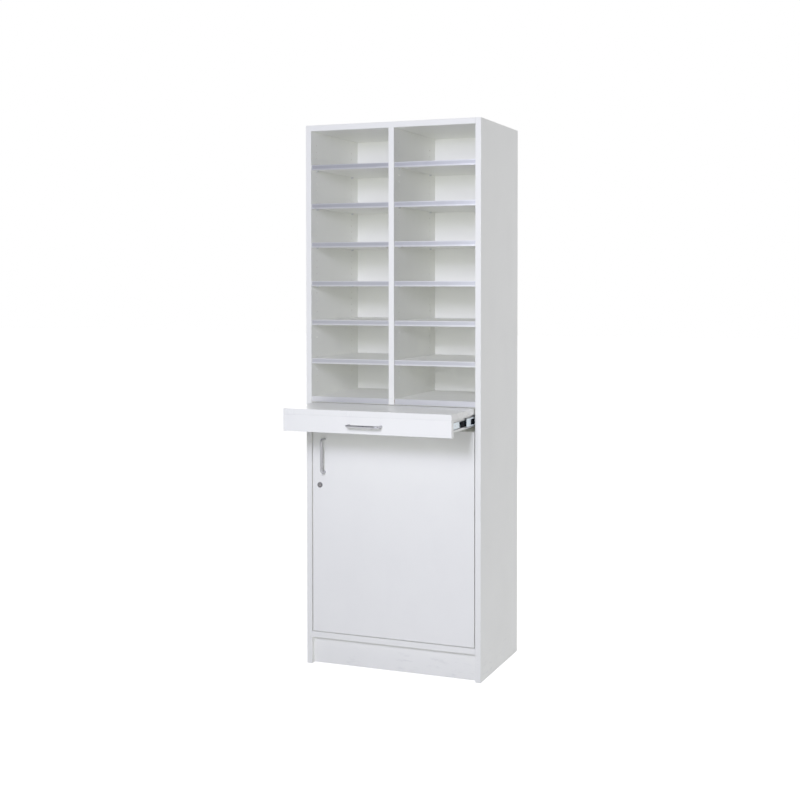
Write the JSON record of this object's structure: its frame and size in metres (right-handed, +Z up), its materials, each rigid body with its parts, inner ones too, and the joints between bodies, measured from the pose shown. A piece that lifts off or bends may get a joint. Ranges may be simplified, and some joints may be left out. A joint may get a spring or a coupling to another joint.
{
  "type": "pigeonhole mail sorter",
  "caption": "Tall coated-board mail sorter with adjustable pigeonholes in two columns over a pull-out writing tray and a lockable cupboard with an inset door.",
  "frame": {"origin": "at floor level, in the middle of the carcass's footprint", "axes": "+X to the right as seen from the front, +Y to the back (the fronts face -Y), +Z up"},
  "size_m": [0.72, 0.727, 2.1],
  "materials": {
    "coated_board": "light grey-white melamine-faced chipboard, faint texture, matching edge bands",
    "back_board": "light grey-white coated fibreboard, smooth",
    "beech": "plain beech dowel rod",
    "strip_aluminium": "satin anodised, fine lengthways lines",
    "zinc_steel": "bright zinc plate",
    "handle_steel": "satin stainless, fine brushing",
    "lock_nickel": "nickel plate",
    "black_plastic": "matt black moulding"
  },
  "bodies": {
    "carcass": {"left_side_panel": "coated_board", "right_side_panel": "coated_board", "top_panel": "coated_board", "bottom_panel": "coated_board", "plinth_board": "coated_board", "centre_divider": "coated_board", "pigeonhole_floor": "coated_board", "cupboard_top_panel": "coated_board", "back_panel": "back_board", "pigeonhole_shelf_left_1": "coated_board", "pigeonhole_shelf_left_2": "coated_board", "pigeonhole_shelf_left_3": "coated_board", "pigeonhole_shelf_left_4": "coated_board", "pigeonhole_shelf_left_5": "coated_board", "pigeonhole_shelf_left_6": "coated_board", "pigeonhole_shelf_right_1": "coated_board", "pigeonhole_shelf_right_2": "coated_board", "pigeonhole_shelf_right_3": "coated_board", "pigeonhole_shelf_right_4": "coated_board", "pigeonhole_shelf_right_5": "coated_board", "pigeonhole_shelf_right_6": "coated_board", "label_strips_left_column": "strip_aluminium", "label_strips_right_column": "strip_aluminium", "shelf_pins": "zinc_steel", "cupboard_shelf": "coated_board", "carcass_dowels": "beech", "back_panel_screws": "zinc_steel", "slide_outer_left": "zinc_steel", "slide_outer_right": "zinc_steel", "hinge_mounting_plates": "zinc_steel", "hinge_arms": "zinc_steel", "system_screws": "zinc_steel"},
    "left_middle_slide": {"slide_middle_left": "zinc_steel"},
    "right_middle_slide": {"slide_middle_right": "zinc_steel"},
    "left_outer_cage": {"outer_ball_cage_left": "black_plastic"},
    "right_outer_cage": {"outer_ball_cage_right": "black_plastic"},
    "left_inner_cage": {"inner_ball_cage_left": "black_plastic"},
    "right_inner_cage": {"inner_ball_cage_right": "black_plastic"},
    "tray": {"tray_top_board": "coated_board", "tray_apron": "coated_board", "tray_bearer_left": "coated_board", "tray_bearer_right": "coated_board", "slide_inner_left": "zinc_steel", "slide_inner_right": "zinc_steel", "tray_handle": "handle_steel", "tray_handle_screws": "zinc_steel", "tray_slide_screws": "zinc_steel", "tray_dowels": "beech", "slide_release_levers": "black_plastic"},
    "door": {"door_panel": "coated_board", "door_handle": "handle_steel", "door_handle_screws": "zinc_steel", "hinge_cups": "zinc_steel", "hinge_pins": "zinc_steel", "cup_screws": "zinc_steel", "lock_housing": "lock_nickel", "lock_nut": "zinc_steel"},
    "lock": {"lock_plug": "lock_nickel", "lock_cam": "zinc_steel", "cam_screw": "zinc_steel"}
  },
  "joints": [
    {"name": "tray_slide", "type": "slide", "parent": "carcass", "child": "tray", "axis": [0, -1, 0], "range_m": [-0.242, 0.158]},
    {"name": "middle_slide_left", "type": "slide", "parent": "carcass", "child": "left_middle_slide", "axis": [0, -1, 0], "range_m": [-0.121, 0.079]},
    {"name": "outer_cage_left", "type": "slide", "parent": "carcass", "child": "left_outer_cage", "axis": [0, -1, 0], "range_m": [-0.0605, 0.0395]},
    {"name": "inner_cage_left", "type": "slide", "parent": "carcass", "child": "left_inner_cage", "axis": [0, -1, 0], "range_m": [-0.1815, 0.1185]},
    {"name": "middle_slide_right", "type": "slide", "parent": "carcass", "child": "right_middle_slide", "axis": [0, -1, 0], "range_m": [-0.121, 0.079]},
    {"name": "outer_cage_right", "type": "slide", "parent": "carcass", "child": "right_outer_cage", "axis": [0, -1, 0], "range_m": [-0.0605, 0.0395]},
    {"name": "inner_cage_right", "type": "slide", "parent": "carcass", "child": "right_inner_cage", "axis": [0, -1, 0], "range_m": [-0.1815, 0.1185]},
    {"name": "door_swing", "type": "hinge", "parent": "carcass", "child": "door", "pos_m": [0.3225, -0.2135, 0.5335], "axis": [0, 0, 1], "range_deg": [0, 95]},
    {"name": "lock_turn", "type": "hinge", "parent": "door", "child": "lock", "pos_m": [-0.303, -0.223, 0.704], "axis": [0, 1, 0], "range_deg": [0, 90]}
  ],
  "couplings": [
    {"joint": "middle_slide_left", "follows": "tray_slide", "ratio": 0.5},
    {"joint": "outer_cage_left", "follows": "tray_slide", "ratio": 0.25},
    {"joint": "inner_cage_left", "follows": "tray_slide", "ratio": 0.75},
    {"joint": "middle_slide_right", "follows": "tray_slide", "ratio": 0.5},
    {"joint": "outer_cage_right", "follows": "tray_slide", "ratio": 0.25},
    {"joint": "inner_cage_right", "follows": "tray_slide", "ratio": 0.75}
  ]
}
